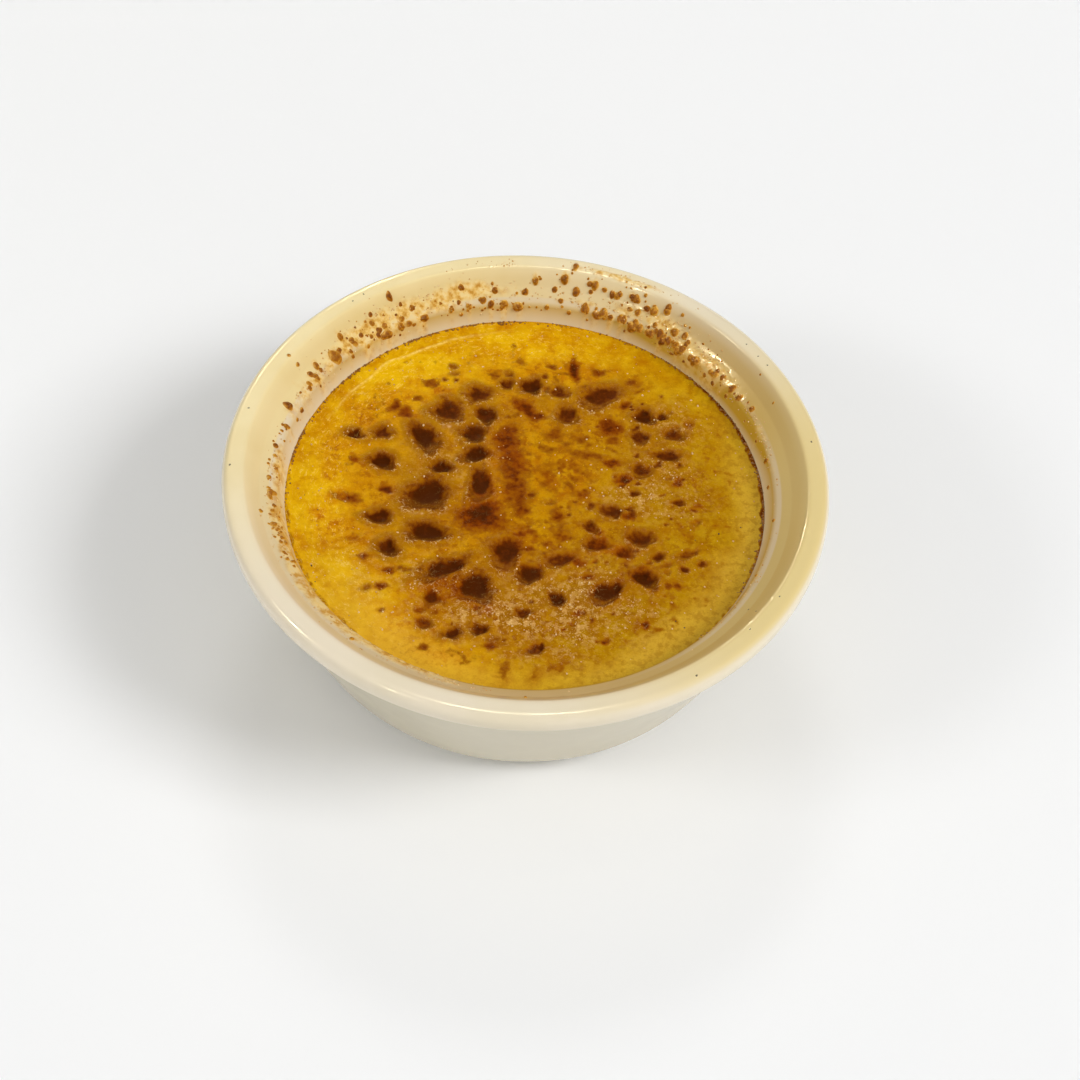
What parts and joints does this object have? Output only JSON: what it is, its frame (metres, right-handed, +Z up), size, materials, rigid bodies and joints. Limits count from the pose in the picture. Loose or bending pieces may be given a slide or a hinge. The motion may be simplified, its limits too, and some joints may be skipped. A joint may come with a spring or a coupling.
{
  "type": "creme brulee",
  "caption": "Baked custard with blistered burnt sugar on top, filling a thick-walled cream-glazed round dish with tapered sides, a stepped inside and a beaded rim.",
  "frame": {"origin": "centre of the foot, on the table that the dish stands on", "axes": "+Z up, out of the dish's mouth; -Y is the side nearest the viewer"},
  "size_m": [0.12, 0.12, 0.0425],
  "materials": {
    "glaze": "glossy cream glaze, slightly uneven, with caramel spattered on the inside",
    "burnt_custard": "wet golden custard under half-melted sugar, scorched brown in blisters"
  },
  "bodies": {
    "root": {"ramekin": "glaze", "custard": "burnt_custard"}
  },
  "joints": []
}
